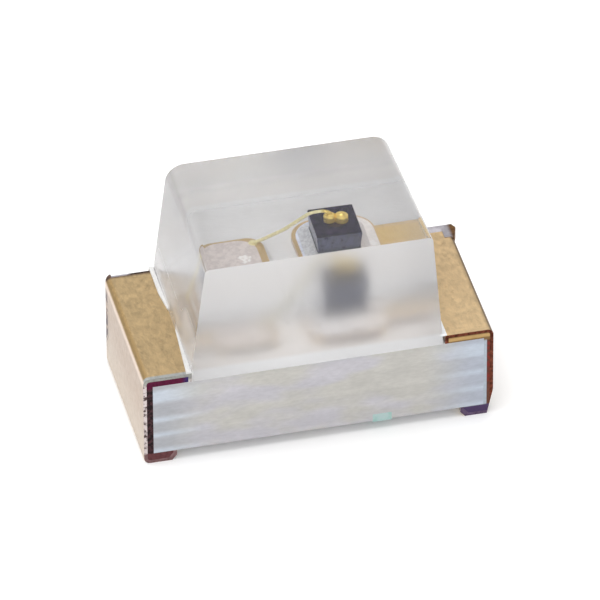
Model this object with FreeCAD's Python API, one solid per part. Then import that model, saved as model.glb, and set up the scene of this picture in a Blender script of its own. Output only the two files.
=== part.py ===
import FreeCAD, Part
import math
import os

os.makedirs("parts", exist_ok=True)

# Chip LED in millimetres. +X runs along the length, the viewer looks at the -Y side,
# and the soldering feet stand on z = 0 with the origin under the middle of the board.

# Overall size of the board with its two wrapped terminals
LENGTH = 1.600
WIDTH = 0.800
BOARD_THICKNESS = 0.370

# Metal of the terminals: copper foil, then nickel with a gold flash
TOP_COPPER = 0.029
END_COPPER = 0.028
FOOT_COPPER = 0.036
PLATING = 0.016
TERMINAL_CORNER_RADIUS = 0.030
TERMINAL_TOP_REACH = 0.222
FOOT_REACH = 0.150
FOOT_TAPER = 0.022
FOOT_TAPER_RISE = 0.026

# Printed copper inside the lens: a neck from each terminal to a pad
NECK_WIDTH = 0.126
ANODE_PAD_LENGTH = 0.262
ANODE_PAD_WIDTH = 0.262
ANODE_PAD_CORNER = 0.060
ANODE_PAD_X = -0.286
ANODE_PAD_Y = -0.022
CATHODE_PAD_LENGTH = 0.340
CATHODE_PAD_WIDTH = 0.370
CATHODE_PAD_CORNER = 0.105
CATHODE_PAD_X = 0.178
CATHODE_PAD_Y = -0.012

# Bright silver spots on the two pads, with the gold rim that each side leaves bare
SILVER_THICKNESS = 0.004
ANODE_RIM_INNER = 0.033
ANODE_RIM_OUTER = 0.008
ANODE_RIM_FRONT = 0.020
ANODE_RIM_BACK = 0.012
ANODE_SPOT_CORNER = 0.085
CATHODE_RIM_INNER = 0.018
CATHODE_RIM_OUTER = 0.006
CATHODE_RIM_FRONT = 0.018
CATHODE_RIM_BACK = 0.008
CATHODE_SPOT_CORNER = 0.118

# Semiconductor die with its silver paste; its sides lean in towards the foot, and it is
# bonded a little askew
DIE_LENGTH = 0.203
DIE_WIDTH = 0.212
DIE_HEIGHT = 0.236
DIE_TAPER = 0.010
DIE_X = 0.169
DIE_Y = 0.001
DIE_TURN = -1.3
EMITTER_THICKNESS = 0.012
EMITTER_INSET = 0.002
PASTE_BOND_LINE = 0.008
PASTE_CLIMB = 0.052
PASTE_SPREAD = 0.056
PASTE_LIP = 0.003
PASTE_HOLLOW = 2.2
PASTE_SECTIONS = 5
CONTACT_DIAMETER = 0.104
CONTACT_THICKNESS = 0.003
CONTACT_X = 0.174
CONTACT_Y = 0.004

# Gold wire from the two studs on the die's contact to the anode pad
WIRE_DIAMETER = 0.020
STUD_DIAMETER = 0.062
STUD_HEIGHT = 0.078
STUD_X = 0.199
STUD_Y = -0.002
SADDLE_DIAMETER = 0.056
SADDLE_HEIGHT = 0.076
SADDLE_X = 0.148
SADDLE_Y = 0.010
STITCH_DIAMETER = 0.040
STITCH_THICKNESS = 0.007
STITCH_X = -0.180
STITCH_Y = 0.081
LOOP_RISE = 0.044
CREST_RUN = 0.085
CREST_DROP = 0.028
FLANK_RUN = 0.200
FLANK_HEIGHT = 0.158
LANDING_RUN = 0.300
LANDING_HEIGHT = 0.036
RISER_BEND = 0.030
CREST_BEND = 0.080
FLANK_BEND = 0.220
LANDING_BEND = 0.090

# Moulded lens: drafted ends, front and back sawn flush with the board
LENS_HEIGHT = 0.600
LENS_TOP_LENGTH = 1.022
LENS_TOP_SHIFT = 0.004
LENS_FOOT_LENGTH = 1.138
LENS_FOOT_SHIFT = -0.009
LENS_TOE = 0.010
LENS_EDGE_RADIUS_FRONT = 0.022
LENS_EDGE_RADIUS_BACK = 0.085
FLASH_ROOT = 0.052
FLASH_CORNER_REACH = 0.026
FLASH_BACK_REACH = 0.015
FLASH_NECK_REACH = 0.002
FLASH_WIDENING = 0.120
FLASH_THICKNESS = 0.010

# Copper that the saw laid bare along the back top edge of each terminal: dragged down
# on the -X terminal, drawn up into a low ridge on the +X one
LEFT_DRAG_DEPTH = 0.024
LEFT_DRAG_CREST = 0.014
LEFT_DRAG_RISE = 0.0
LEFT_DRAG_BACK_RISE = -0.012
RIGHT_BURR_DEPTH = 0.040
RIGHT_BURR_CREST = 0.010
RIGHT_BURR_RISE = 0.008
RIGHT_BURR_BACK_RISE = 0.004

# Lump of metal at the back corner of the +X terminal, and the corners that are worn off
CORNER_BURR_REACH = 0.022
CORNER_BURR_LENGTH = 0.090
CORNER_BURR_BULGE = 0.022
CORNER_BURR_TAIL = 0.011
CORNER_BURR_DROP = 0.070
CORNER_BURR_ROUNDING = 0.009
WORN_CORNER_HEIGHT = 0.130
WORN_CORNER_DEPTH = 0.028
WORN_CORNER_LENGTH = 0.260
WORN_BACK_RADIUS = 0.034

# Polarity mark printed on the underside, its ink dragged over the sawn edge
MARK_THICKNESS = 0.008
MARK_BAR_X = 0.290
MARK_BAR_WIDTH = 0.087
MARK_STEM_LENGTH = 0.300
MARK_STEM_WIDTH = 0.110
MARK_SMEAR_HEIGHT = 0.034
MARK_SMEAR_DEPTH = 0.006

# Levels and edges that follow from the sizes above
BOARD_BOTTOM = FOOT_COPPER + PLATING
BOARD_TOP = BOARD_BOTTOM + BOARD_THICKNESS
COPPER_TOP = BOARD_TOP + TOP_COPPER
METAL_TOP = COPPER_TOP + PLATING
SILVER_TOP = METAL_TOP + SILVER_THICKNESS
DIE_BOTTOM = SILVER_TOP + PASTE_BOND_LINE
EMITTER_BOTTOM = DIE_BOTTOM + DIE_HEIGHT
DIE_TOP = EMITTER_BOTTOM + EMITTER_THICKNESS
CONTACT_TOP = DIE_TOP + CONTACT_THICKNESS
LENS_TOP = BOARD_TOP + LENS_HEIGHT
OUTER_END = LENGTH / 2
COPPER_END = OUTER_END - PLATING
BOARD_END = COPPER_END - END_COPPER
BACK = WIDTH / 2
FRONT = -WIDTH / 2
PLATED_TOP_EDGE = OUTER_END - TERMINAL_TOP_REACH
PLATED_FOOT_EDGE = OUTER_END - FOOT_REACH
RIDGE_END = COPPER_END - TERMINAL_CORNER_RADIUS / 2
LARGEST_CORNER_SHARE = 0.98
LARGEST_TAPER_SHARE = 0.8
TOLERANCE = 1e-6
UP = FreeCAD.Vector(0, 0, 1)
ALONG_Y = FreeCAD.Vector(0, 1, 0)


def box(x0, x1, y0, y1, z0, z1):
    """Block between two opposite corners."""
    corner = FreeCAD.Vector(x0, y0, z0)
    return Part.makeBox(x1 - x0, y1 - y0, z1 - z0, corner)


def flat_face(points):
    """Flat face inside a closed polygon of points."""
    return Part.Face(Part.makePolygon(points + [points[0]]))


def prism(points, direction):
    """Solid from a closed polygon of points, pushed along a vector."""
    return flat_face(points).extrude(direction)


def flat_sided(first, second):
    """Solid between two matching outlines, closed by a flat face along each of their sides."""
    faces = [flat_face(first), flat_face(second)]
    for index, corner in enumerate(first):
        faces.append(flat_face([first[index - 1], corner, second[index], second[index - 1]]))
    return Part.Solid(Part.Shell(faces))


def rounded_outline(x, y, length, width, radius, z):
    """Closed wire of a rounded rectangle centred on x, y at height z."""
    half_x = length / 2
    half_y = width / 2
    radius = min(radius, LARGEST_CORNER_SHARE * min(half_x, half_y))
    edges = []
    corners = [(1, 1), (-1, 1), (-1, -1), (1, -1)]
    ends = []
    for index, (sign_x, sign_y) in enumerate(corners):
        centre = FreeCAD.Vector(x + sign_x * (half_x - radius), y + sign_y * (half_y - radius), z)
        start = math.pi / 2 * index
        points = []
        for step in range(3):
            angle = start + math.pi / 4 * step
            offset = FreeCAD.Vector(radius * math.cos(angle), radius * math.sin(angle), 0)
            points.append(centre + offset)
        edges.append(Part.Arc(points[0], points[1], points[2]).toShape())
        ends.append((points[0], points[2]))
    wire_edges = []
    for index in range(len(corners)):
        following = (index + 1) % len(corners)
        wire_edges.append(edges[index])
        wire_edges.append(Part.LineSegment(ends[index][1], ends[following][0]).toShape())
    return Part.Wire(wire_edges)


def rounded_plate(x, y, length, width, radius, z0, z1):
    """Flat plate with rounded corners."""
    outline = rounded_outline(x, y, length, width, radius, z0)
    return Part.Face(outline).extrude(FreeCAD.Vector(0, 0, z1 - z0))


def wrap(top_edge, foot_edge, end, bottom, top, radius):
    """C-shaped strip round the +X end of the board, sawn flush in front and behind.

    The strip is rounded at its two outer corners, and its foot tapers at the inner end.
    """
    diagonal = radius * (1 - math.sqrt(0.5))

    def at(x, z):
        return FreeCAD.Vector(x, FRONT, z)

    foot_rise = min(FOOT_TAPER_RISE, LARGEST_TAPER_SHARE * (BOARD_BOTTOM - bottom))
    edges = [
        Part.LineSegment(at(top_edge, BOARD_TOP), at(BOARD_END, BOARD_TOP)).toShape(),
        Part.LineSegment(at(BOARD_END, BOARD_TOP), at(BOARD_END, BOARD_BOTTOM)).toShape(),
        Part.LineSegment(at(BOARD_END, BOARD_BOTTOM), at(foot_edge, BOARD_BOTTOM)).toShape(),
        Part.LineSegment(at(foot_edge, BOARD_BOTTOM), at(foot_edge, bottom + foot_rise)).toShape(),
        Part.LineSegment(at(foot_edge, bottom + foot_rise), at(foot_edge + FOOT_TAPER, bottom)).toShape(),
        Part.LineSegment(at(foot_edge + FOOT_TAPER, bottom), at(end - radius, bottom)).toShape(),
        Part.Arc(
            at(end - radius, bottom),
            at(end - diagonal, bottom + diagonal),
            at(end, bottom + radius),
        ).toShape(),
        Part.LineSegment(at(end, bottom + radius), at(end, top - radius)).toShape(),
        Part.Arc(
            at(end, top - radius),
            at(end - diagonal, top - diagonal),
            at(end - radius, top),
        ).toShape(),
        Part.LineSegment(at(end - radius, top), at(top_edge, top)).toShape(),
        Part.LineSegment(at(top_edge, top), at(top_edge, BOARD_TOP)).toShape(),
    ]
    return Part.Face(Part.Wire(edges)).extrude(ALONG_Y * WIDTH)


def sawn_ridge(reach_in, burr):
    """Bare copper along the back top edge of a terminal, from its crest down to the saw cut."""
    depth, crest, rise, back_rise = burr
    profile = [
        FreeCAD.Vector(reach_in, BACK - depth, COPPER_TOP),
        FreeCAD.Vector(reach_in, BACK - depth, METAL_TOP),
        FreeCAD.Vector(reach_in, BACK - crest, METAL_TOP + rise),
        FreeCAD.Vector(reach_in, BACK, METAL_TOP + back_rise),
        FreeCAD.Vector(reach_in, BACK, COPPER_TOP),
    ]
    return prism(profile, FreeCAD.Vector(RIDGE_END - reach_in, 0, 0))


def ridge_seat(reach_in, depth):
    """Room that the ridge of bare copper takes from the plating."""
    return box(reach_in, RIDGE_END, BACK - depth, BACK, COPPER_TOP, METAL_TOP)


def corner_burr():
    """Lump of metal that the saw pushed out past the +X end at the back top corner."""
    top = METAL_TOP + RIGHT_BURR_BACK_RISE
    bottom = top - CORNER_BURR_DROP
    inner = COPPER_END - TERMINAL_CORNER_RADIUS
    outer = OUTER_END + CORNER_BURR_REACH
    plan = [
        FreeCAD.Vector(inner, BACK - CORNER_BURR_LENGTH, bottom),
        FreeCAD.Vector(OUTER_END, BACK - CORNER_BURR_LENGTH, bottom),
        FreeCAD.Vector(outer, BACK - CORNER_BURR_BULGE, bottom),
        FreeCAD.Vector(outer - CORNER_BURR_TAIL, BACK, bottom),
        FreeCAD.Vector(inner, BACK, bottom),
    ]
    lump = prism(plan, UP * (top - bottom))
    rounded = [edge for edge in lump.Edges if is_outer_rim(edge, OUTER_END)]
    return lump.makeFillet(CORNER_BURR_ROUNDING, rounded)


def is_outer_rim(edge, limit):
    """True for an edge with both ends past or on a limit along X, and one end past it."""
    xs = [vertex.Point.x for vertex in edge.Vertexes]
    return min(xs) > limit - TOLERANCE and max(xs) > limit + TOLERANCE


def worn_corner():
    """Wedge rubbed off the lower front corner at the +X end, fading towards the back."""
    side = OUTER_END + WORN_CORNER_DEPTH
    tip = FreeCAD.Vector(side, FRONT, 0)
    top = FreeCAD.Vector(OUTER_END, FRONT, WORN_CORNER_HEIGHT)
    inner = FreeCAD.Vector(OUTER_END - WORN_CORNER_DEPTH, FRONT, 0)
    fade = FreeCAD.Vector(OUTER_END, FRONT + WORN_CORNER_LENGTH, 0)
    base = flat_face([inner, top, tip])
    back = flat_face([top, fade, tip])
    slope = flat_face([inner, fade, top])
    floor = flat_face([inner, tip, fade])
    return Part.Solid(Part.Shell([base, back, slope, floor]))


def worn_back_corner():
    """What is rubbed off the upright back corner at the +X end, to leave it rounded."""
    reach = WORN_BACK_RADIUS
    x = OUTER_END - reach
    y = BACK - reach
    corner = box(x, OUTER_END + reach, y, BACK + reach, 0, METAL_TOP)
    return corner.cut(Part.makeCylinder(reach, METAL_TOP, FreeCAD.Vector(x, y, 0), UP))


def pattern(pad, grow, z0, z1, top_edge):
    """Neck and pad of one terminal at the +X end, grown outwards by a margin."""
    x, y, length, width, corner = pad
    plate = rounded_plate(x, y, length + 2 * grow, width + 2 * grow, corner + grow, z0, z1)
    half_neck = NECK_WIDTH / 2 + grow
    neck = box(x, top_edge + PLATING, -half_neck, half_neck, z0, z1)
    return plate.fuse(neck)


def terminal(pad, burr):
    """Copper and plating of a terminal at the +X end, before they are fitted together."""
    inner = PLATED_TOP_EDGE + PLATING
    foot = PLATED_FOOT_EDGE + PLATING
    copper = wrap(inner, foot, COPPER_END, PLATING, COPPER_TOP, TERMINAL_CORNER_RADIUS - PLATING)
    copper = copper.fuse(pattern(pad, 0, BOARD_TOP, COPPER_TOP, inner))
    copper = copper.fuse(sawn_ridge(inner, burr))
    skin = wrap(PLATED_TOP_EDGE, PLATED_FOOT_EDGE, OUTER_END, 0, METAL_TOP, TERMINAL_CORNER_RADIUS)
    skin = skin.fuse(pattern(pad, PLATING, BOARD_TOP, METAL_TOP, inner))
    return copper, skin.cut(ridge_seat(inner, burr[0]))


def fitted(copper, skin, worn_off):
    """Copper and plating with the worn-off part taken away, the plating fitted on the copper."""
    copper = copper.cut(worn_off).removeSplitter()
    return copper, skin.cut([worn_off, copper]).removeSplitter()


def mirrored(shape):
    """The same shape at the -X end of the board."""
    return shape.mirror(FreeCAD.Vector(0, 0, 0), FreeCAD.Vector(1, 0, 0))


def board_block():
    """Plain block of the glass laminate."""
    return box(-BOARD_END, BOARD_END, FRONT, BACK, BOARD_BOTTOM, BOARD_TOP)


def polarity_mark():
    """T of green ink under the board, with the ink that the saw dragged up in front."""
    low = BOARD_BOTTOM - MARK_THICKNESS
    bar_start = MARK_BAR_X - MARK_BAR_WIDTH / 2
    bar_end = MARK_BAR_X + MARK_BAR_WIDTH / 2
    bar = box(bar_start, bar_end, FRONT, BACK, low, BOARD_BOTTOM)
    half_stem = MARK_STEM_WIDTH / 2
    stem = box(bar_start - MARK_STEM_LENGTH, bar_start, -half_stem, half_stem, low, BOARD_BOTTOM)
    smear_back = FRONT + MARK_SMEAR_DEPTH
    smear = box(bar_start, bar_end, FRONT, smear_back, BOARD_BOTTOM, BOARD_BOTTOM + MARK_SMEAR_HEIGHT)
    return bar.fuse(stem).fuse(smear).removeSplitter()


def rectangle(x, y, length, width, z):
    """Corner points of a rectangle centred on x, y at height z."""
    signs = [(-1, -1), (1, -1), (1, 1), (-1, 1)]
    return [FreeCAD.Vector(x + side * length / 2, y + way * width / 2, z) for side, way in signs]


def askew(shape):
    """The same shape turned with the die about its upright middle line."""
    return shape.rotated(FreeCAD.Vector(DIE_X, DIE_Y, 0), UP, DIE_TURN)


def die_block():
    """Crystal of the die, a block whose four sides lean in towards its foot."""
    foot_length = DIE_LENGTH - 2 * DIE_TAPER
    foot_width = DIE_WIDTH - 2 * DIE_TAPER
    foot = rectangle(DIE_X, DIE_Y, foot_length, foot_width, DIE_BOTTOM)
    head = rectangle(DIE_X, DIE_Y, DIE_LENGTH, DIE_WIDTH, EMITTER_BOTTOM)
    return askew(flat_sided(foot, head))


def emitter_layer():
    """Light-giving layer on the crystal, a little smaller than the block under it."""
    length = DIE_LENGTH - 2 * EMITTER_INSET
    width = DIE_WIDTH - 2 * EMITTER_INSET
    outline = rectangle(DIE_X, DIE_Y, length, width, EMITTER_BOTTOM)
    return askew(prism(outline, UP * EMITTER_THICKNESS))


def die_contact():
    """Round gold contact on top of the die."""
    foot = FreeCAD.Vector(CONTACT_X, CONTACT_Y, DIE_TOP)
    return Part.makeCylinder(CONTACT_DIAMETER / 2, CONTACT_THICKNESS, foot, UP)


def silver_paste(crystal):
    """Fillet of silver paste under and around the die, hollow-faced as it climbs."""
    sections = []
    for index in range(PASTE_SECTIONS):
        share = index / (PASTE_SECTIONS - 1)
        spread = PASTE_LIP + (PASTE_SPREAD - PASTE_LIP) * (1 - share) ** PASTE_HOLLOW
        z = SILVER_TOP + (PASTE_BOND_LINE + PASTE_CLIMB) * share
        reach = spread - DIE_TAPER * (EMITTER_BOTTOM - z) / DIE_HEIGHT
        length = DIE_LENGTH + 2 * reach
        width = DIE_WIDTH + 2 * reach
        sections.append(rounded_outline(DIE_X, DIE_Y, length, width, PASTE_LIP + spread, z))
    mound = Part.makeLoft(sections, True, True)
    return askew(mound).cut(crystal)


def gold_stud(x, y, z, diameter, height):
    """Round-headed stud of gold."""
    radius = diameter / 2
    shank = Part.makeCylinder(radius, height - radius, FreeCAD.Vector(x, y, z), UP)
    head = Part.makeSphere(radius, FreeCAD.Vector(x, y, z + height - radius))
    return shank.fuse(head)


def rounded_path(points, radii):
    """Straight runs through the points, joined by tangent arcs of the given radii."""
    edges = []
    start = points[0]
    for index, radius in enumerate(radii):
        before = (points[index] - points[index + 1]).normalize()
        after = (points[index + 2] - points[index + 1]).normalize()
        turn = math.pi - before.getAngle(after)
        trim = radius * math.tan(turn / 2)
        corner = points[index + 1]
        middle_way = (before + after).normalize()
        middle = corner + middle_way * (radius / math.cos(turn / 2) - radius)
        arc_start = corner + before * trim
        arc_end = corner + after * trim
        edges.append(Part.LineSegment(start, arc_start).toShape())
        edges.append(Part.Arc(arc_start, middle, arc_end).toShape())
        start = arc_end
    edges.append(Part.LineSegment(start, points[-1]).toShape())
    return Part.Wire(edges)


def bond_wire():
    """Gold wire in one piece: two studs, the loop from one of them and the stitch on the pad."""
    foot = FreeCAD.Vector(SADDLE_X, SADDLE_Y, 0)
    landing = FreeCAD.Vector(STITCH_X, STITCH_Y, 0)
    span = (landing - foot).Length
    heading = (landing - foot).normalize()
    saddle_top = CONTACT_TOP + SADDLE_HEIGHT
    crest = saddle_top + LOOP_RISE
    end_height = METAL_TOP + WIRE_DIAMETER / 2

    def at(run, z):
        return foot + heading * run + UP * z

    points = [
        at(0, saddle_top - SADDLE_HEIGHT / 2),
        at(0, crest),
        at(CREST_RUN, crest - CREST_DROP),
        at(FLANK_RUN, METAL_TOP + FLANK_HEIGHT),
        at(LANDING_RUN, METAL_TOP + LANDING_HEIGHT),
        at(span, end_height),
    ]
    path = rounded_path(points, [RISER_BEND, CREST_BEND, FLANK_BEND, LANDING_BEND])
    section = Part.Wire(Part.makeCircle(WIRE_DIAMETER / 2, points[0], UP))
    sweep = Part.BRepOffsetAPI.MakePipeShell(path)
    sweep.add(section)
    sweep.build()
    sweep.makeSolid()
    wire = sweep.shape()
    stud = gold_stud(STUD_X, STUD_Y, CONTACT_TOP, STUD_DIAMETER, STUD_HEIGHT)
    saddle = gold_stud(SADDLE_X, SADDLE_Y, CONTACT_TOP, SADDLE_DIAMETER, SADDLE_HEIGHT)
    stitch_foot = FreeCAD.Vector(STITCH_X, STITCH_Y, METAL_TOP)
    stitch = Part.makeCylinder(STITCH_DIAMETER / 2, STITCH_THICKNESS, stitch_foot, UP)
    return wire.fuse([stud, saddle, stitch]).removeSplitter()


def lens_block():
    """Moulded block with drafted ends, before its contents are taken out of it."""
    slope = (LENS_FOOT_LENGTH - LENS_TOP_LENGTH) / 2 / (LENS_TOP - METAL_TOP)
    widening = slope * (METAL_TOP - BOARD_TOP)
    outlines = []
    for y, toe in ((FRONT, LENS_TOE / 2), (BACK, -LENS_TOE / 2)):
        half_top = LENS_TOP_LENGTH / 2 + toe
        half_foot = LENS_FOOT_LENGTH / 2 + widening + toe
        outlines.append([
            FreeCAD.Vector(LENS_FOOT_SHIFT - half_foot, y, BOARD_TOP),
            FreeCAD.Vector(LENS_FOOT_SHIFT + half_foot, y, BOARD_TOP),
            FreeCAD.Vector(LENS_TOP_SHIFT + half_top, y, LENS_TOP),
            FreeCAD.Vector(LENS_TOP_SHIFT - half_top, y, LENS_TOP),
        ])
    block = flat_sided(outlines[0], outlines[1])
    for side in (-1, 1):
        edge = top_end_edge(block, side)
        radii = [LENS_EDGE_RADIUS_FRONT, LENS_EDGE_RADIUS_BACK]
        if edge.Vertexes[0].Point.y > 0:
            radii.reverse()
        block = block.makeFillet(radii[0], radii[1], [edge])
    return block


def top_end_edge(block, side):
    """Edge that runs from front to back along one end of the lens top."""
    for edge in block.Edges:
        box_of_edge = edge.BoundBox
        lowest = abs(box_of_edge.ZMin - LENS_TOP)
        highest = abs(box_of_edge.ZMax - LENS_TOP)
        level = max(lowest, highest) < TOLERANCE
        if level and box_of_edge.YLength > WIDTH / 2 and side * edge.CenterOfMass.x > LENS_TOP_LENGTH / 4:
            return edge
    raise ValueError("the lens has no such edge")


def lens_flash():
    """Thin resin flash on the terminals along both lens feet, open over the necks.

    It is widest at the front corners and thins out towards the necks.
    """
    strips = []
    half_neck = NECK_WIDTH / 2 + PLATING
    rise = UP * (METAL_TOP + FLASH_THICKNESS - BOARD_TOP)
    for side in (-1, 1):
        foot = LENS_FOOT_SHIFT + side * LENS_FOOT_LENGTH / 2
        front_plan = [
            (-FLASH_ROOT, FRONT),
            (FLASH_CORNER_REACH, FRONT),
            (FLASH_NECK_REACH, -half_neck),
            (-FLASH_ROOT, -half_neck),
        ]
        back_plan = [
            (-FLASH_ROOT, half_neck),
            (FLASH_NECK_REACH, half_neck),
            (FLASH_BACK_REACH, half_neck + FLASH_WIDENING),
            (FLASH_BACK_REACH, BACK),
            (-FLASH_ROOT, BACK),
        ]
        for plan in (front_plan, back_plan):
            points = [FreeCAD.Vector(foot + side * reach, y, BOARD_TOP) for reach, y in plan]
            strips.append(prism(points, rise))
    return strips


def silver_spot(pad, rims, corner):
    """Silver on a pad whose inner end looks to -X, set in by a rim on each side."""
    x, y, length, width, pad_corner = pad
    inner, outer, front, back = rims
    x0 = x - length / 2 - PLATING + inner
    x1 = x + length / 2 + PLATING - outer
    y0 = y - width / 2 - PLATING + front
    y1 = y + width / 2 + PLATING - back
    centre_x = (x0 + x1) / 2
    centre_y = (y0 + y1) / 2
    return rounded_plate(centre_x, centre_y, x1 - x0, y1 - y0, corner, METAL_TOP, SILVER_TOP)


cathode_pad = (CATHODE_PAD_X, CATHODE_PAD_Y, CATHODE_PAD_LENGTH, CATHODE_PAD_WIDTH, CATHODE_PAD_CORNER)
anode_pad = (-ANODE_PAD_X, ANODE_PAD_Y, ANODE_PAD_LENGTH, ANODE_PAD_WIDTH, ANODE_PAD_CORNER)
left_burr = (LEFT_DRAG_DEPTH, LEFT_DRAG_CREST, LEFT_DRAG_RISE, LEFT_DRAG_BACK_RISE)
right_burr = (RIGHT_BURR_DEPTH, RIGHT_BURR_CREST, RIGHT_BURR_RISE, RIGHT_BURR_BACK_RISE)
copper, skin = terminal(cathode_pad, right_burr)
copper = copper.fuse(corner_burr().cut(board_block()))
right_copper, right_plating = fitted(copper, skin, worn_corner())
copper, skin = terminal(anode_pad, left_burr)
copper, skin = fitted(copper, skin, worn_back_corner())
left_copper = mirrored(copper)
left_plating = mirrored(skin)

mark = polarity_mark()
board = board_block().cut(mark)

cathode_rims = (CATHODE_RIM_INNER, CATHODE_RIM_OUTER, CATHODE_RIM_FRONT, CATHODE_RIM_BACK)
anode_rims = (ANODE_RIM_INNER, ANODE_RIM_OUTER, ANODE_RIM_FRONT, ANODE_RIM_BACK)
cathode_spot = silver_spot(cathode_pad, cathode_rims, CATHODE_SPOT_CORNER)

crystal = die_block()
emitter = emitter_layer()
contact = die_contact()
paste = silver_paste(crystal)
wire = bond_wire()
anode_spot = mirrored(silver_spot(anode_pad, anode_rims, ANODE_SPOT_CORNER)).cut(wire)

lens = lens_block().fuse(lens_flash())
contents = [
    left_copper,
    left_plating,
    right_copper,
    right_plating,
    anode_spot,
    cathode_spot,
    paste,
    crystal,
    emitter,
    contact,
    wire,
]
lens = lens.cut(contents).removeSplitter()

nodes = {
    "board_laminate": board,
    "left_terminal_copper": left_copper,
    "left_terminal_plating": left_plating,
    "right_terminal_copper": right_copper,
    "right_terminal_plating": right_plating,
    "left_pad_silver": anode_spot,
    "right_pad_silver": cathode_spot,
    "die_attach_paste": paste,
    "die_crystal": crystal,
    "die_emitter_layer": emitter,
    "die_top_contact": contact,
    "bond_wire": wire,
    "lens": lens,
    "polarity_mark": mark,
}

for name, shape in nodes.items():
    shape.exportStep(f"parts/{name}.step")
    extent = shape.optimalBoundingBox(False)
    print(
        name,
        "solids", len(shape.Solids),
        "valid", shape.isValid(),
        "volume %.6f" % shape.Volume,
        "x %.4f %.4f" % (extent.XMin, extent.XMax),
        "y %.4f %.4f" % (extent.YMin, extent.YMax),
        "z %.4f %.4f" % (extent.ZMin, extent.ZMax),
    )
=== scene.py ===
import math

import bpy
from mathutils import Matrix, Vector


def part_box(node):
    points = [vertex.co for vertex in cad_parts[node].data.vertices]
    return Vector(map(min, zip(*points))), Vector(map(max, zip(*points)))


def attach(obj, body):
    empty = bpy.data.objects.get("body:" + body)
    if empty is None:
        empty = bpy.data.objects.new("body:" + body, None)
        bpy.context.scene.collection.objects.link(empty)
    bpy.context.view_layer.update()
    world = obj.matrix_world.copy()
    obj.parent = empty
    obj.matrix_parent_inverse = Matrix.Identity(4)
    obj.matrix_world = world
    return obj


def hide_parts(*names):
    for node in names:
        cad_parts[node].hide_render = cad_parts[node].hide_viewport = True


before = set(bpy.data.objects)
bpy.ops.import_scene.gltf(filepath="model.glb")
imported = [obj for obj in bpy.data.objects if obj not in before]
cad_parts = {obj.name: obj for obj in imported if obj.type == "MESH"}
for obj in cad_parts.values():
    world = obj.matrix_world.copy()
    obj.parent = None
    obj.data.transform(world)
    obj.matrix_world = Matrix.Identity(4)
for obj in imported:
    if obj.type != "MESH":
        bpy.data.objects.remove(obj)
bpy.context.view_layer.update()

# Lengths below are written in millimetres, and the scene is in metres
MM = 0.001
LENS_TOP_LENGTH = 1.022
LENS_TOP_SHIFT = 0.004
LENS_FOOT_LENGTH = 1.138
LENS_FOOT_SHIFT = -0.009
LENS_TOE = 0.010
LENS_ROUNDING_FRONT = 0.022
LENS_ROUNDING_BACK = 0.085
LENS_SINK = 0.0005
LENS_SET_IN = 0.0008
NECK_HALF_WIDTH = 0.079
FLASH_ROOT = 0.004
FLASH_CORNER_REACH = 0.026
FLASH_BACK_REACH = 0.015
FLASH_NECK_REACH = 0.002
FLASH_WIDENING = 0.120
FLASH_BLOB_START = 0.200
FLASH_THICKNESS = 0.010
FLASH_ROUNDING = 0.003
FLASH_SINK = 0.001
FLASH_SET_BACK = 0.0004


def level(node, side):
    """Height in millimetres of the underside (0) or the top (1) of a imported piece."""
    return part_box(node)[side].z / MM


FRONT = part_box("board_laminate")[0].y / MM
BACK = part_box("board_laminate")[1].y / MM
BOARD_TOP = level("board_laminate", 1)
METAL_TOP = level("left_pad_silver", 0)
LENS_TOP = level("lens", 1)
OUTER_END = -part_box("left_terminal_plating")[0].x / MM
BOARD_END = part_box("board_laminate")[1].x / MM


# Wiring of the finishes

def put(tree, kind, plugs, **options):
    """A shader node with its options set and each input wired up or filled in."""
    made = tree.nodes.new("ShaderNode" + kind)
    for name, value in options.items():
        setattr(made, name, value)
    for key, value in plugs.items():
        plug = made.inputs[key]
        if isinstance(value, bpy.types.NodeSocket):
            tree.links.new(value, plug)
        elif plug.type == "RGBA":
            plug.default_value = (*value, 1.0)
        else:
            plug.default_value = value
    return made


def finish(name):
    """Empty finish with its shader, ready to be wired."""
    material = bpy.data.materials.new(name)
    material.use_nodes = True
    return material, material.node_tree, material.node_tree.nodes["Principled BSDF"]


def place(tree):
    """Where a point lies on the part, in millimetres."""
    spot = put(tree, "TexCoord", {}).outputs["Object"]
    return put(tree, "VectorMath", {0: spot, "Scale": 1 / MM}, operation="SCALE").outputs[0]


def facing(tree):
    """Which way a face looks, as three separate numbers."""
    normal = put(tree, "TexCoord", {}).outputs["Normal"]
    return put(tree, "SeparateXYZ", {0: normal}).outputs


def parts_of(tree, spot):
    """The x, y and z of a place."""
    return put(tree, "SeparateXYZ", {0: spot}).outputs


def sum_up(tree, operation, first, second=0.0):
    """One step of arithmetic on numbers."""
    return put(tree, "Math", {0: first, 1: second}, operation=operation).outputs[0]


def fade(tree, value, start, end):
    """Smooth step from 0 at start to 1 at end."""
    plugs = {0: value, 1: start, 2: end}
    return put(tree, "MapRange", plugs, interpolation_type="SMOOTHSTEP").outputs[0]


def band(tree, value, start, end, soft):
    """1 between start and end, falling off over a soft edge on each side."""
    rise = fade(tree, value, start - soft, start + soft)
    fall = fade(tree, value, end + soft, end - soft)
    return sum_up(tree, "MULTIPLY", rise, fall)


def grain(tree, spot, size, detail=3.0, stretch=(1, 1, 1), shift=(0, 0, 0)):
    """Soft mottling whose patches measure about the given size, drawn out along an axis."""
    scale = tuple(1 / amount for amount in stretch)
    laid = put(tree, "Mapping", {"Vector": spot, "Scale": scale, "Location": shift}).outputs[0]
    plugs = {"Vector": laid, "Scale": 0.5 / size, "Detail": detail, "Roughness": 0.55}
    return put(tree, "TexNoise", plugs).outputs["Fac"]


def mix(tree, share, first, second, blend="MIX"):
    """Two colours mixed by a share."""
    plugs = {0: share, 6: first, 7: second}
    return put(tree, "Mix", plugs, data_type="RGBA", blend_type=blend).outputs[2]


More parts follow.
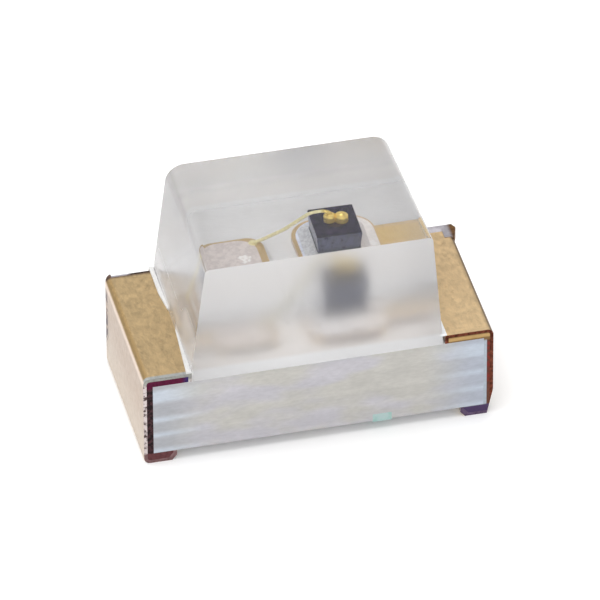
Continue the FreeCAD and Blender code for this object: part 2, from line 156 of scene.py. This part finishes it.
def between(tree, share, first, second):
    """Two numbers mixed by a share."""
    return put(tree, "Mix", {0: share, 2: first, 3: second}).outputs[0]


def swing(tree, colour, pattern, low, high, start=0.3, end=0.7):
    """A colour made lighter and darker between two factors by a pattern."""
    factor = put(tree, "MapRange", {0: pattern, 1: start, 2: end, 3: low, 4: high}).outputs[0]
    return put(tree, "VectorMath", {0: colour, "Scale": factor}, operation="SCALE").outputs[0]


def spread(tree, pattern, low, high, start=0.3, end=0.7):
    """A number between low and high that follows a pattern."""
    return put(tree, "MapRange", {0: pattern, 1: start, 2: end, 3: low, 4: high}).outputs[0]


def relief(tree, pattern, depth):
    """Surface relief of a depth in millimetres, as a normal."""
    plugs = {"Height": pattern, "Distance": depth * MM, "Strength": 1.0}
    return put(tree, "Bump", plugs).outputs[0]


def wear(node, material):
    """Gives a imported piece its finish."""
    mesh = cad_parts[node].data
    mesh.materials.clear()
    mesh.materials.append(material)


# Finishes

FILM_START = 0.521
HAZE_TOP = 0.74
REAR_HAZE_TOP = 0.66
REAR_HAZE_LOW = 0.56
DRAG_START = 0.28
# Places of two painted glints on the silver pads
PAINTED_GLINT_SPOTS = ((-0.244, -0.025, METAL_TOP), (0.318, -0.047, METAL_TOP))
CLOTH_PLIES = ((0.330, 0.400), (0.226, 0.250), (0.138, 0.162), (0.046, 0.074))


def laminate_finish():
    """White glass laminate: printed top, and sawn sides that show the layers of cloth."""
    material, tree, shader = finish("white_glass_laminate")
    spot = place(tree)
    x, y, z = parts_of(tree, spot)
    wavy = grain(tree, spot, 0.10, 2.0, (3, 1, 1))
    height = sum_up(tree, "ADD", z, spread(tree, wavy, -0.006, 0.006))
    ply = 0.0
    for low, high in CLOTH_PLIES:
        ply = sum_up(tree, "ADD", ply, band(tree, height, low, high, 0.014))
    left_end = fade(tree, x, -0.46, -0.74)
    right_end = fade(tree, x, 0.46, 0.74)
    hue = grain(tree, spot, 0.09, 2.0, (2.5, 1, 1), (1, 4, 2))
    core = mix(tree, fade(tree, hue, 0.42, 0.58), (0.54, 0.525, 0.49), (0.54, 0.525, 0.56))
    core = swing(tree, core, ply, 0.975, 1.03, 0.0, 1.0)
    sawn = mix(tree, left_end, core, mix(tree, ply, (0.42, 0.43, 0.46), (0.56, 0.61, 0.68)))
    sawn = mix(tree, right_end, sawn, mix(tree, ply, (0.42, 0.45, 0.52), (0.515, 0.57, 0.65)))
    cloudy = grain(tree, spot, 0.04, 4.0, (2, 1, 1))
    sawn = swing(tree, sawn, cloudy, 0.94, 1.06)
    fibres = grain(tree, spot, 0.006, 3.0, (3, 1, 1), (3, 1, 2))
    sawn = swing(tree, sawn, fibres, 0.93, 1.06)
    printed = swing(tree, (0.94, 0.94, 0.945), grain(tree, spot, 0.03), 0.98, 1.02)
    colour = mix(tree, fade(tree, facing(tree)[2], 0.6, 0.9), sawn, printed)
    tree.links.new(colour, shader.inputs["Base Color"])
    tree.links.new(spread(tree, cloudy, 0.55, 0.75), shader.inputs["Roughness"])
    tree.links.new(relief(tree, fibres, 0.002), shader.inputs["Normal"])
    shader.inputs["Specular IOR Level"].default_value = 0.35
    return material


def plating_finish():
    """Gold over nickel: grainy on top, ends painted pale as a reflection of the white floor, lighter by the
    left neck as painted light, dark and smeared where it is sawn through.
    """
    material, tree, shader = finish("gold_over_nickel")
    spot = place(tree)
    x, y, z = parts_of(tree, spot)
    out_x, out_y = facing(tree)[:2]
    to_right = fade(tree, x, -0.2, 0.3)
    gold = mix(tree, to_right, (0.56, 0.415, 0.23), (0.70, 0.52, 0.305))
    right_front = sum_up(tree, "MULTIPLY", to_right, fade(tree, y, 0.05, -0.30))
    gold = mix(tree, right_front, gold, (0.76, 0.57, 0.335))
    mottle = grain(tree, spot, 0.030, 4.0)
    gold = swing(tree, gold, mottle, 0.95, 1.05)
    hammered = grain(tree, spot, 0.009, 3.0, (1, 1.6, 1), (5, 2, 1))
    gold = swing(tree, gold, hammered, 0.91, 1.09)
    pits = fade(tree, grain(tree, spot, 0.012, 2.0, (1, 1, 1), (9, 4, 3)), 0.36, 0.28)
    gold = mix(tree, sum_up(tree, "MULTIPLY", pits, 0.22), gold, (0.42, 0.27, 0.14))
    left_rim = fade(tree, x, 0.034 - OUTER_END, 0.020 - OUTER_END)
    gold = mix(tree, sum_up(tree, "MULTIPLY", left_rim, 0.8), gold, (0.40, 0.27, 0.12))
    on_left = fade(tree, x, -0.1, -0.2)
    front_rim = sum_up(tree, "MULTIPLY", fade(tree, y, FRONT + 0.024, FRONT + 0.012), on_left)
    gold = mix(tree, front_rim, gold, (0.47, 0.49, 0.48))
    across_neck = band(tree, y, -0.062, 0.062, 0.016)
    right_neck = sum_up(tree, "MULTIPLY", band(tree, x, 0.36, 0.56, 0.02), across_neck)
    gold = mix(tree, right_neck, gold, (0.73, 0.535, 0.250))
    # Painted light: the gold by the left neck, inside the resin, is painted lighter to make up for the shade
    # there
    left_neck_painted_light = sum_up(tree, "MULTIPLY", band(tree, x, -0.572, -0.44, 0.014), across_neck)
    gold = mix(tree, left_neck_painted_light, gold, (0.92, 0.68, 0.38))
    dragged = sum_up(tree, "MULTIPLY", fade(tree, y, BACK - 0.044, BACK - 0.020), on_left)
    gold = mix(tree, dragged, gold, swing(tree, (0.13, 0.085, 0.07), hammered, 0.5, 1.6))
    right_rim = fade(tree, x, OUTER_END - 0.020, OUTER_END - 0.010)
    gold = mix(tree, right_rim, gold, (0.16, 0.10, 0.05))
    # Painted reflection: the end faces are painted pale cream for the white floor they reflect, lighter low
    # down; lighter again along the top edge
    end_painted_reflection = mix(tree, fade(tree, z, 0.45, 0.41), (0.78, 0.66, 0.57), (0.50, 0.41, 0.34))
    end_painted_reflection = mix(tree, fade(tree, z, 0.32, 0.06), end_painted_reflection, (0.585, 0.51, 0.435))
    end_painted_reflection = swing(tree, end_painted_reflection, grain(tree, spot, 0.02, 4.0), 0.96, 1.04)
    end = fade(tree, sum_up(tree, "ABSOLUTE", out_x), 0.75, 0.98)
    gold = mix(tree, end, gold, end_painted_reflection)
    speck = grain(tree, spot, 0.010, 3.0, (1, 1, 1), (2, 7, 5))
    nickel = swing(tree, (0.29, 0.29, 0.27), speck, 0.75, 1.2)
    dark_leg = mix(tree, fade(tree, speck, 0.38, 0.54), (0.085, 0.055, 0.055), (0.61, 0.54, 0.53))
    brown = swing(tree, (0.115, 0.034, 0.020), speck, 0.3, 1.9)
    leg = fade(tree, z, METAL_TOP - 0.020, METAL_TOP - 0.045)
    foot = fade(tree, z, 0.060, 0.045)
    left = mix(tree, leg, nickel, dark_leg)
    left = mix(tree, foot, left, swing(tree, (0.22, 0.13, 0.13), speck, 0.7, 1.4))
    right = mix(tree, foot, brown, swing(tree, (0.13, 0.09, 0.15), speck, 0.7, 1.4))
    section = mix(tree, to_right, left, right)
    sawn = fade(tree, sum_up(tree, "ABSOLUTE", out_y), 0.75, 0.95)
    colour = mix(tree, sawn, gold, section)
    near_back = fade(tree, y, BACK - 0.088, BACK - 0.066)
    bruised = sum_up(tree, "MULTIPLY", near_back, band(tree, z, 0.12, 0.41, 0.03))
    bruised = sum_up(tree, "MULTIPLY", bruised, fade(tree, x, 0.024 - OUTER_END, 0.010 - OUTER_END))
    bruised = sum_up(tree, "MULTIPLY", bruised, fade(tree, hammered, 0.60, 0.44))
    colour = mix(tree, bruised, colour, (0.085, 0.060, 0.070))
    tree.links.new(colour, shader.inputs["Base Color"])
    shader.inputs["Metallic"].default_value = 1.0
    tree.links.new(spread(tree, hammered, 0.40, 0.56), shader.inputs["Roughness"])
    tree.links.new(relief(tree, hammered, 0.0016), shader.inputs["Normal"])
    return material


def copper_finish():
    """Sawn copper foil: dark red and violet in front, smeared along the saw burrs, with a painted light-blue
    highlight and a dark brown line along the back burrs.
    """
    material, tree, shader = finish("sawn_copper")
    spot = place(tree)
    x, y, z = parts_of(tree, spot)
    speck = grain(tree, spot, 0.010, 3.0)
    top_leg = fade(tree, z, 0.405, 0.418)
    foot = fade(tree, z, 0.056, 0.048)
    red = mix(tree, fade(tree, x, -0.63, -0.59), (0.085, 0.005, 0.030), (0.030, 0.025, 0.125))
    red = swing(tree, red, speck, 0.7, 1.4)
    left = mix(tree, fade(tree, speck, 0.42, 0.60), (0.014, 0.007, 0.008), (0.065, 0.028, 0.033))
    left = mix(tree, foot, left, swing(tree, (0.125, 0.045, 0.048), speck, 0.7, 1.4))
    left = mix(tree, top_leg, left, red)
    smear = swing(tree, (0.47, 0.305, 0.125), grain(tree, spot, 0.02, 3.0, (3, 1, 1)), 0.85, 1.15)
    # Gold smear of the right top leg, between a dark line along its top edge and a painted shadow line along
    # its underside where it meets the board
    smear_above_painted_shadow = band(tree, z, BOARD_TOP + 0.007, METAL_TOP - 0.020, 0.004)
    smear = mix(tree, smear_above_painted_shadow, (0.20, 0.12, 0.05), smear)
    right = mix(tree, fade(tree, speck, 0.42, 0.60), (0.20, 0.030, 0.022), (0.11, 0.038, 0.025))
    right = mix(tree, fade(tree, z, 0.22, 0.10), right, (0.135, 0.058, 0.038))
    smeared = fade(tree, x, BOARD_END + 0.016, BOARD_END + 0.012)
    right = mix(tree, smeared, right, swing(tree, (0.42, 0.47, 0.53), speck, 0.85, 1.1))
    right = mix(tree, foot, right, (0.08, 0.05, 0.12))
    right = mix(tree, top_leg, right, smear)
    colour = mix(tree, fade(tree, x, -0.2, 0.2), left, right)
    streak = grain(tree, spot, 0.010, 3.0, (4, 1, 1), (4, 1, 6))
    # Along the back burrs: a painted light-blue highlight at the left end and on the right, dark brown
    # between, tarnish at the right end
    painted_blue_highlight = swing(tree, (0.41, 0.39, 0.42), streak, 0.8, 1.15)
    dark_burr = swing(tree, (0.075, 0.045, 0.035), streak, 0.5, 1.8)
    burr_colours_and_painted_highlight = mix(tree, fade(tree, x, -0.70, -0.675), painted_blue_highlight, dark_burr)
    burr_colours_and_painted_highlight = mix(tree, fade(tree, x, 0.0, 0.1), burr_colours_and_painted_highlight, painted_blue_highlight)
    tarnish = swing(tree, (0.15, 0.075, 0.030), streak, 0.5, 1.6)
    burr_colours_and_painted_highlight = mix(tree, fade(tree, x, 0.776, 0.798), burr_colours_and_painted_highlight, tarnish)
    dragged = fade(tree, y, DRAG_START, DRAG_START + 0.02)
    colour = mix(tree, dragged, colour, burr_colours_and_painted_highlight)
    tree.links.new(colour, shader.inputs["Base Color"])
    shader.inputs["Metallic"].default_value = 0.6
    shader.inputs["Specular IOR Level"].default_value = 0.2
    tree.links.new(spread(tree, speck, 0.35, 0.6), shader.inputs["Roughness"])
    tree.links.new(relief(tree, speck, 0.002), shader.inputs["Normal"])
    return material


def silver_finish():
    """Rough silver of the two pads: pinkish on the small one, whiter round the die, with two painted glints.
    """
    material, tree, shader = finish("pad_silver")
    spot = place(tree)
    x = parts_of(tree, spot)[0]
    mottle = grain(tree, spot, 0.012, 4.0)
    to_right = fade(tree, x, -0.1, 0.0)
    past_die = fade(tree, x, 0.06, 0.28)
    low_by_die = mix(tree, past_die, (0.72, 0.75, 0.88), (0.90, 0.85, 0.82))
    high_by_die = mix(tree, past_die, (0.86, 0.90, 1.0), (0.99, 0.94, 0.91))
    low = mix(tree, to_right, (0.67, 0.60, 0.58), low_by_die)
    high = mix(tree, to_right, (0.82, 0.75, 0.72), high_by_die)
    colour = mix(tree, fade(tree, mottle, 0.35, 0.65), low, high)
    # Painted glints: small whiter spots on the pads stand in for highlights
    for glint_spot in PAINTED_GLINT_SPOTS:
        from_glint = put(tree, "VectorMath", {0: spot, 1: glint_spot}, operation="DISTANCE").outputs["Value"]
        from_glint = sum_up(tree, "ADD", from_glint, spread(tree, mottle, -0.018, 0.018))
        colour = mix(tree, fade(tree, from_glint, 0.026, 0.012), colour, (1.0, 0.97, 0.95))
    tree.links.new(colour, shader.inputs["Base Color"])
    shader.inputs["Metallic"].default_value = 0.85
    tree.links.new(spread(tree, mottle, 0.36, 0.54), shader.inputs["Roughness"])
    tree.links.new(relief(tree, grain(tree, spot, 0.008, 3.0), 0.002), shader.inputs["Normal"])
    return material


def paste_finish():
    """Grainy silver-filled paste that thins to a dark film where it climbs the die, painted lighter on its
    far slope.
    """
    material, tree, shader = finish("silver_filled_paste")
    spot = place(tree)
    x, y, z = parts_of(tree, spot)
    flakes = grain(tree, spot, 0.008, 4.0)
    colour = mix(tree, fade(tree, flakes, 0.3, 0.7), (0.68, 0.67, 0.70), (0.93, 0.92, 0.93))
    bluish = mix(tree, 1.0, colour, (0.94, 0.97, 1.0), "MULTIPLY")
    colour = mix(tree, fade(tree, x, 0.12, 0.24), bluish, colour)
    # Painted light: the paste's slope on the far side of the die is painted near white where it would render
    # in shade
    far_slope_painted_light = fade(tree, x, 0.262, 0.274)
    colour = mix(tree, far_slope_painted_light, colour, (1.0, 0.95, 0.94))
    film = fade(tree, z, FILM_START, FILM_START + 0.010)
    colour = mix(tree, film, colour, (0.10, 0.105, 0.13))
    tree.links.new(colour, shader.inputs["Base Color"])
    shader.inputs["Metallic"].default_value = 0.4
    tree.links.new(spread(tree, flakes, 0.35, 0.6), shader.inputs["Roughness"])
    tree.links.new(relief(tree, flakes, 0.002), shader.inputs["Normal"])
    return material


def crystal_finish():
    """Grey-blue sides of the die, finely scored by the dicing saw."""
    material, tree, shader = finish("die_crystal_sides")
    spot = place(tree)
    scored = grain(tree, spot, 0.008, 3.0, (1, 1, 5))
    colour = mix(tree, fade(tree, scored, 0.3, 0.7), (0.022, 0.026, 0.078), (0.075, 0.084, 0.175))
    colour = mix(tree, fade(tree, parts_of(tree, spot)[2], 0.60, 0.52), colour, (0.030, 0.032, 0.070))
    # The side facing left is drawn lighter and bluer
    left_face = fade(tree, facing(tree)[0], -0.6, -0.9)
    colour = mix(tree, left_face, colour, swing(tree, (0.26, 0.275, 0.38), scored, 0.85, 1.15))
    tree.links.new(colour, shader.inputs["Base Color"])
    tree.links.new(spread(tree, scored, 0.25, 0.45), shader.inputs["Roughness"])
    return material


def emitter_finish():
    """Navy and violet top layer of the die."""
    material, tree, shader = finish("die_top_layer")
    spot = place(tree)
    tint = grain(tree, spot, 0.014, 3.0)
    colour = mix(tree, fade(tree, tint, 0.36, 0.62), (0.002, 0.002, 0.020), (0.030, 0.018, 0.062))
    tree.links.new(colour, shader.inputs["Base Color"])
    tree.links.new(spread(tree, tint, 0.15, 0.3), shader.inputs["Roughness"])
    shader.inputs["Specular IOR Level"].default_value = 0.15
    return material


def contact_finish():
    """Thin dark contact metal on top of the die."""
    material, tree, shader = finish("die_contact_metal")
    spot = place(tree)
    worked = grain(tree, spot, 0.010, 3.0)
    tree.links.new(swing(tree, (0.040, 0.022, 0.030), worked, 0.7, 1.4), shader.inputs["Base Color"])
    tree.links.new(spread(tree, worked, 0.25, 0.4), shader.inputs["Roughness"])
    shader.inputs["Specular IOR Level"].default_value = 0.2
    return material


def wire_finish():
    """Bright gold of the wire, its studs and its stitch."""
    material, tree, shader = finish("bond_wire_gold")
    spot = place(tree)
    worked = grain(tree, spot, 0.006, 3.0)
    studs = fade(tree, parts_of(tree, spot)[0], 0.10, 0.13)
    colour = mix(tree, studs, (1.0, 0.91, 0.53), (1.0, 0.74, 0.20))
    tree.links.new(swing(tree, colour, worked, 0.94, 1.04), shader.inputs["Base Color"])
    tree.links.new(spread(tree, studs, 0.25, 0.55, 0.0, 1.0), shader.inputs["Metallic"])
    tree.links.new(spread(tree, worked, 0.18, 0.30), shader.inputs["Roughness"])
    return material


def ink_finish():
    """Green ink of the polarity mark, thin and patchy where the saw dragged it."""
    material, tree, shader = finish("green_mark_ink")
    spot = place(tree)
    patch = grain(tree, spot, 0.015, 3.0)
    colour = mix(tree, fade(tree, patch, 0.35, 0.65), (0.34, 0.55, 0.51), (0.46, 0.60, 0.59))
    tree.links.new(colour, shader.inputs["Base Color"])
    tree.links.new(spread(tree, patch, 0.45, 0.65), shader.inputs["Roughness"])
    return material


def resin_finish():
    """Clear moulding resin: glossy top under a white veil of painted light, frosted sawn faces with a
    painted image of the gold pads on the front, ends that turn milky at the foot with a painted highlight
    along it.
    """
    material, tree, shader = finish("clear_moulding_resin")
    spot = place(tree)
    x, y, z = parts_of(tree, spot)
    out_x, out_y = facing(tree)[:2]
    sawn = fade(tree, sum_up(tree, "ABSOLUTE", out_y), 0.6, 0.9)
    behind = fade(tree, out_y, 0.6, 0.9)
    end = fade(tree, sum_up(tree, "ABSOLUTE", out_x), 0.5, 0.9)
    streak = grain(tree, spot, 0.014, 3.0, (6, 1, 1))
    frosted = spread(tree, streak, 0.40, 0.47)
    clear = spread(tree, grain(tree, spot, 0.06, 2.0), 0.04, 0.07)
    dull = spread(tree, grain(tree, spot, 0.05, 3.0), 0.19, 0.25)
    roughness = between(tree, end, clear, dull)
    roughness = between(tree, sawn, roughness, frosted)
    tree.links.new(roughness, shader.inputs["Roughness"])
    milky = spread(tree, fade(tree, z, HAZE_TOP, 0.50), 0.84, 0.42, 0.0, 1.0)
    # The white line along the foot of the ends is partly a painted highlight
    foot_white_line = fade(tree, z, METAL_TOP + 0.034, METAL_TOP + 0.022)
    milky = between(tree, foot_white_line, milky, 0.05)
    over_neck = sum_up(tree, "MULTIPLY", band(tree, y, -0.066, 0.066, 0.012), fade(tree, z, 0.54, 0.50))
    milky = between(tree, over_neck, milky, 0.60)
    before_neck = sum_up(tree, "MULTIPLY", band(tree, y, -0.40, -0.16, 0.05), fade(tree, z, 0.72, 0.62))
    milky = between(tree, before_neck, milky, 0.35)
    # Painted light: a white veil over the top, thicker towards the back and the right, lifts the parts that
    # render darker
    painted_light_veil = sum_up(tree, "MAXIMUM", fade(tree, y, -0.06, 0.10), fade(tree, x, 0.26, 0.56))
    painted_light_veil = spread(tree, painted_light_veil, 0.975, 0.86, 0.0, 1.0)
    haze = between(tree, end, painted_light_veil, milky)
    cut_haze = spread(tree, fade(tree, z, HAZE_TOP, 0.60), 0.85, 0.60, 0.0, 1.0)
    rear_haze = spread(tree, fade(tree, z, REAR_HAZE_TOP, REAR_HAZE_LOW), 1.0, 0.5, 0.0, 1.0)
    cut_haze = between(tree, behind, cut_haze, rear_haze)
    haze = between(tree, sawn, haze, cut_haze)
    tree.links.new(haze, shader.inputs["Transmission Weight"])
    end_white = mix(tree, fade(tree, z, HAZE_TOP, 0.52), (0.61, 0.60, 0.61), (0.71, 0.70, 0.71))
    colour = mix(tree, end, (0.98, 0.98, 0.98), end_white)
    # Front sawn face: painted lighter and warm low down as the blurred image of the gold pads behind it, and
    # near white at the foot as painted light from the board
    front = mix(tree, fade(tree, z, 0.78, 0.60), (0.69, 0.69, 0.70), (0.87, 0.825, 0.79))
    front = mix(tree, fade(tree, z, METAL_TOP + 0.030, METAL_TOP), front, (0.95, 0.95, 0.955))
    rear = mix(tree, fade(tree, z, REAR_HAZE_TOP, REAR_HAZE_LOW), (0.96, 0.96, 0.965), (0.60, 0.60, 0.605))
    colour = mix(tree, sawn, colour, mix(tree, behind, front, rear))
    tree.links.new(colour, shader.inputs["Base Color"])
    shader.inputs["IOR"].default_value = 1.53
    return material


def flash_finish():
    """Thin flash of resin at the foot of the lens, white partly as a painted highlight along the foot,
    greyer on the left.
    """
    material, tree, shader = finish("resin_flash_painted_highlight")
    spot = place(tree)
    patch = grain(tree, spot, 0.02, 3.0)
    white = mix(tree, fade(tree, parts_of(tree, spot)[0], -0.2, 0.2), (0.70, 0.70, 0.69), (0.95, 0.97, 0.99))
    tree.links.new(swing(tree, white, patch, 0.94, 1.02), shader.inputs["Base Color"])
    tree.links.new(spread(tree, patch, 0.3, 0.5), shader.inputs["Roughness"])
    return material


# Modelling of the pieces that Blender makes

def deselect():
    """Leaves nothing selected."""
    bpy.ops.object.select_all(action="DESELECT")


def choose(piece, wanted):
    """Selects, in edit mode, the corners of a mesh for which wanted(place in millimetres) is true."""
    bpy.ops.object.mode_set(mode="EDIT")
    bpy.ops.mesh.select_mode(type="VERT")
    bpy.ops.mesh.select_all(action="DESELECT")
    bpy.ops.object.mode_set(mode="OBJECT")
    for corner in piece.data.vertices:
        corner.select = wanted(corner.co / MM)
    bpy.ops.object.mode_set(mode="EDIT")


def settle(piece):
    """Bakes an object's place, turn and size into its mesh."""
    bpy.ops.object.transform_apply(location=True, rotation=True, scale=True)
    return piece


def lens_outline(y, toe, rounding):
    """Flat outline of the lens at one sawn face, with its two top corners rounded."""
    height = LENS_TOP - BOARD_TOP
    middle = BOARD_TOP + height / 2
    deselect()
    bpy.ops.mesh.primitive_plane_add(
        size=1,
        location=(LENS_TOP_SHIFT * MM, y * MM, middle * MM),
        rotation=(math.pi / 2, 0, 0),
    )
    outline = bpy.context.object
    outline.scale = ((LENS_TOP_LENGTH + 2 * toe) * MM, height * MM, 1)
    settle(outline)
    slope = (LENS_FOOT_LENGTH - LENS_TOP_LENGTH) / 2 / (LENS_TOP - METAL_TOP)
    widening = slope * (METAL_TOP - BOARD_TOP)
    for side in (-1, 1):
        foot = LENS_FOOT_SHIFT + side * (LENS_FOOT_LENGTH / 2 + widening + toe)
        top = LENS_TOP_SHIFT + side * (LENS_TOP_LENGTH / 2 + toe)
        choose(outline, lambda at: at.z < middle and side * (at.x - LENS_TOP_SHIFT) > 0)
        bpy.ops.transform.translate(value=((foot - top) * MM, 0, -LENS_SINK * MM))
        bpy.ops.object.mode_set(mode="OBJECT")
    choose(outline, lambda at: at.z > middle)
    turn = math.pi / 2 - math.atan(slope)
    bpy.ops.mesh.bevel(
        offset=rounding * math.tan(turn / 2) * MM, segments=12, affect="VERTICES", clamp_overlap=False
    )
    bpy.ops.mesh.select_all(action="SELECT")
    bpy.ops.mesh.delete(type="ONLY_FACE")
    bpy.ops.object.mode_set(mode="OBJECT")
    return outline


def lens_body():
    """Moulded block of clear resin, whose end edges are rounded more at the back than in front."""
    front = lens_outline(FRONT + LENS_SET_IN, LENS_TOE / 2, LENS_ROUNDING_FRONT)
    back = lens_outline(BACK - LENS_SET_IN, -LENS_TOE / 2, LENS_ROUNDING_BACK)
    deselect()
    back.select_set(True)
    front.select_set(True)
    bpy.context.view_layer.objects.active = front
    bpy.ops.object.join()
    bpy.ops.object.mode_set(mode="EDIT")
    bpy.ops.mesh.select_mode(type="EDGE")
    bpy.ops.mesh.select_all(action="SELECT")
    bpy.ops.mesh.bridge_edge_loops(number_cuts=7, interpolation="LINEAR")
    bpy.ops.mesh.select_all(action="SELECT")
    bpy.ops.mesh.fill_holes(sides=0)
    bpy.ops.mesh.select_all(action="SELECT")
    bpy.ops.mesh.normals_make_consistent(inside=False)
    bpy.ops.object.mode_set(mode="OBJECT")
    front.name = "lens_body"
    bpy.ops.object.shade_smooth_by_angle(angle=math.radians(30))
    bpy.ops.object.modifier_add(type="WEIGHTED_NORMAL")
    front.modifiers[0].keep_sharp = True
    front.modifiers[0].weight = 100
    bpy.ops.object.modifier_apply(modifier=front.modifiers[0].name)
    return front


def flash_strip(name, side, neck_y, far_y, reach, widening):
    """Thin uneven strip of resin along one foot of the lens, narrowing almost to nothing at the neck."""
    foot = LENS_FOOT_SHIFT + side * LENS_FOOT_LENGTH / 2
    inside = foot - side * FLASH_ROOT
    outside = foot + side * reach
    top = METAL_TOP + FLASH_THICKNESS
    low = METAL_TOP - FLASH_SINK
    deselect()
    bpy.ops.mesh.primitive_cube_add(
        size=1,
        location=((inside + outside) / 2 * MM, (neck_y + far_y) / 2 * MM, (low + top) / 2 * MM),
        scale=((reach + FLASH_ROOT) * MM, abs(far_y - neck_y) * MM, (top - low) * MM),
    )
    strip = settle(bpy.context.object)
    if widening:
        bend = neck_y + math.copysign(widening, far_y - neck_y)
        choose(strip, lambda at: True)
        bpy.ops.mesh.bisect(plane_co=(0, bend * MM, 0), plane_no=(0, 1, 0))
        bpy.ops.object.mode_set(mode="OBJECT")
    choose(strip, lambda at: side * (at.x - foot) > 0 and abs(at.y - neck_y) < 0.001)
    bpy.ops.transform.translate(value=(side * (FLASH_NECK_REACH - reach) * MM, 0, 0))
    bpy.ops.object.mode_set(mode="OBJECT")
    choose(strip, lambda at: side * (at.x - foot) > 0 and at.z > (low + top) / 2)
    bpy.ops.mesh.bevel(offset=FLASH_ROUNDING * MM, segments=3, affect="EDGES", clamp_overlap=True)
    bpy.ops.mesh.select_all(action="SELECT")
    bpy.ops.mesh.subdivide(number_cuts=3)
    bpy.ops.mesh.normals_make_consistent(inside=False)
    bpy.ops.object.mode_set(mode="OBJECT")
    bpy.ops.object.shade_smooth_by_angle(angle=math.radians(40))
    strip.name = name
    strip.data.name = name
    return strip


lens = lens_body()
front_end = FRONT + FLASH_SET_BACK
back_end = BACK - FLASH_SET_BACK
flash_runs = {
    "lens_flash_left_front": (-1, -NECK_HALF_WIDTH, front_end, FLASH_CORNER_REACH, 0),
    "lens_flash_left_back": (-1, NECK_HALF_WIDTH, back_end, FLASH_BACK_REACH, FLASH_WIDENING),
    "lens_flash_right_front": (1, -NECK_HALF_WIDTH, front_end, FLASH_CORNER_REACH, FLASH_BLOB_START),
    "lens_flash_right_back": (1, NECK_HALF_WIDTH, back_end, FLASH_BACK_REACH, FLASH_WIDENING),
}
flashes = [flash_strip(name, *run) for name, run in flash_runs.items()]
lens.data.materials.append(resin_finish())
flash_highlight_finish = flash_finish()
for strip in flashes:
    strip.data.materials.append(flash_highlight_finish)
for piece in [lens] + flashes:
    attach(piece, "root")
    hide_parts("lens")

plating = plating_finish()
copper = copper_finish()
silver = silver_finish()
wear("board_laminate", laminate_finish())
wear("left_terminal_plating", plating)
wear("right_terminal_plating", plating)
wear("left_terminal_copper", copper)
wear("right_terminal_copper", copper)
wear("left_pad_silver", silver)
wear("right_pad_silver", silver)
wear("die_attach_paste", paste_finish())
wear("die_crystal", crystal_finish())
wear("die_emitter_layer", emitter_finish())
wear("die_top_contact", contact_finish())
wear("bond_wire", wire_finish())
wear("polarity_mark", ink_finish())

# Floor, light and camera

FLOOR_SIZE = 400
SOFTBOX_SIZE = 60
SMALL_SOFTBOX_SIZE = 12
SOFTBOX_DISTANCE = 60
SKY_LEVEL = 0.58
FLOOR_GLOW = 0.15


def floor_finish():
    """White floor that keeps the part's shadow and shows plain white elsewhere."""
    material, tree, shader = finish("white_floor")
    shader.inputs["Base Color"].default_value = (0.90, 0.90, 0.90, 1)
    shader.inputs["Roughness"].default_value = 0.9
    shader.inputs["Specular IOR Level"].default_value = 0.0
    shader.inputs["Emission Color"].default_value = (1, 1, 1, 1)
    rays = put(tree, "LightPath", {}).outputs
    seen = sum_up(tree, "MAXIMUM", rays["Is Camera Ray"], rays["Is Glossy Ray"])
    seen = sum_up(tree, "MAXIMUM", seen, rays["Is Transmission Ray"])
    tree.links.new(sum_up(tree, "MULTIPLY", seen, FLOOR_GLOW), shader.inputs["Emission Strength"])
    return material


deselect()
bpy.ops.mesh.primitive_plane_add(size=FLOOR_SIZE * MM, location=(0, 0, 0))
floor = bpy.context.object
floor.name = "floor"
floor.data.materials.append(floor_finish())

world = bpy.data.worlds.new("white_studio")
bpy.context.scene.world = world
world.use_nodes = True
sky = world.node_tree
sky.nodes["Background"].inputs["Color"].default_value = (1, 1, 1, 1)
sky.nodes["Background"].inputs["Strength"].default_value = SKY_LEVEL


def softbox(name, towards, size, radiance):
    """Square soft light far along a direction from the part, aimed at it."""
    lamp = bpy.data.lights.new(name, "AREA")
    lamp.size = size * MM
    lamp.energy = radiance * math.pi * (size * MM) ** 2
    holder = bpy.data.objects.new(name, lamp)
    bpy.context.scene.collection.objects.link(holder)
    way = Vector(towards).normalized()
    holder.location = way * SOFTBOX_DISTANCE * MM
    holder.rotation_euler = (-way).to_track_quat("-Z", "Y").to_euler()
    holder.visible_camera = False
    return holder


softbox("overhead_softbox", (-0.25, 0.1, 1.0), SOFTBOX_SIZE, 2.8)
softbox("front_softbox", (-0.5, -1.0, 0.7), SOFTBOX_SIZE, 0.45)
softbox("small_softbox", (0.5, -0.8, 0.9), SMALL_SOFTBOX_SIZE, 5.0)

# Camera as the photograph has it: nearly flat view from the front left, a little turned
VIEW_AZIMUTH = math.radians(13.27)
VIEW_ELEVATION = math.radians(36.97)
VIEW_ROLL = math.radians(0.29)
VIEW_DISTANCE = 45
VIEW_LENS = 604.7
VIEW_TARGET = Vector((0, 0, 0.5))
VIEW_ASIDE = 0.0096
VIEW_DOWN = 0.0179

back_way = Vector((
    -math.sin(VIEW_AZIMUTH) * math.cos(VIEW_ELEVATION),
    -math.cos(VIEW_AZIMUTH) * math.cos(VIEW_ELEVATION),
    math.sin(VIEW_ELEVATION),
))
level_right = Vector((math.cos(VIEW_AZIMUTH), -math.sin(VIEW_AZIMUTH), 0))
level_up = back_way.cross(level_right)
right_way = level_right * math.cos(VIEW_ROLL) - level_up * math.sin(VIEW_ROLL)
up_way = level_right * math.sin(VIEW_ROLL) + level_up * math.cos(VIEW_ROLL)
camera_data = bpy.data.cameras.new("view")
camera_data.lens = VIEW_LENS
camera_data.sensor_width = 36
camera_data.clip_start = 0.1 * MM
camera_data.clip_end = 1000 * MM
camera = bpy.data.objects.new("view", camera_data)
bpy.context.scene.collection.objects.link(camera)
stand = VIEW_TARGET + right_way * VIEW_ASIDE - up_way * VIEW_DOWN + back_way * VIEW_DISTANCE
turned = Matrix((right_way, up_way, back_way)).transposed().to_4x4()
camera.matrix_world = Matrix.Translation(stand * MM) @ turned
bpy.context.scene.camera = camera
bpy.context.scene.view_settings.view_transform = "Standard"

bpy.context.view_layer.update()
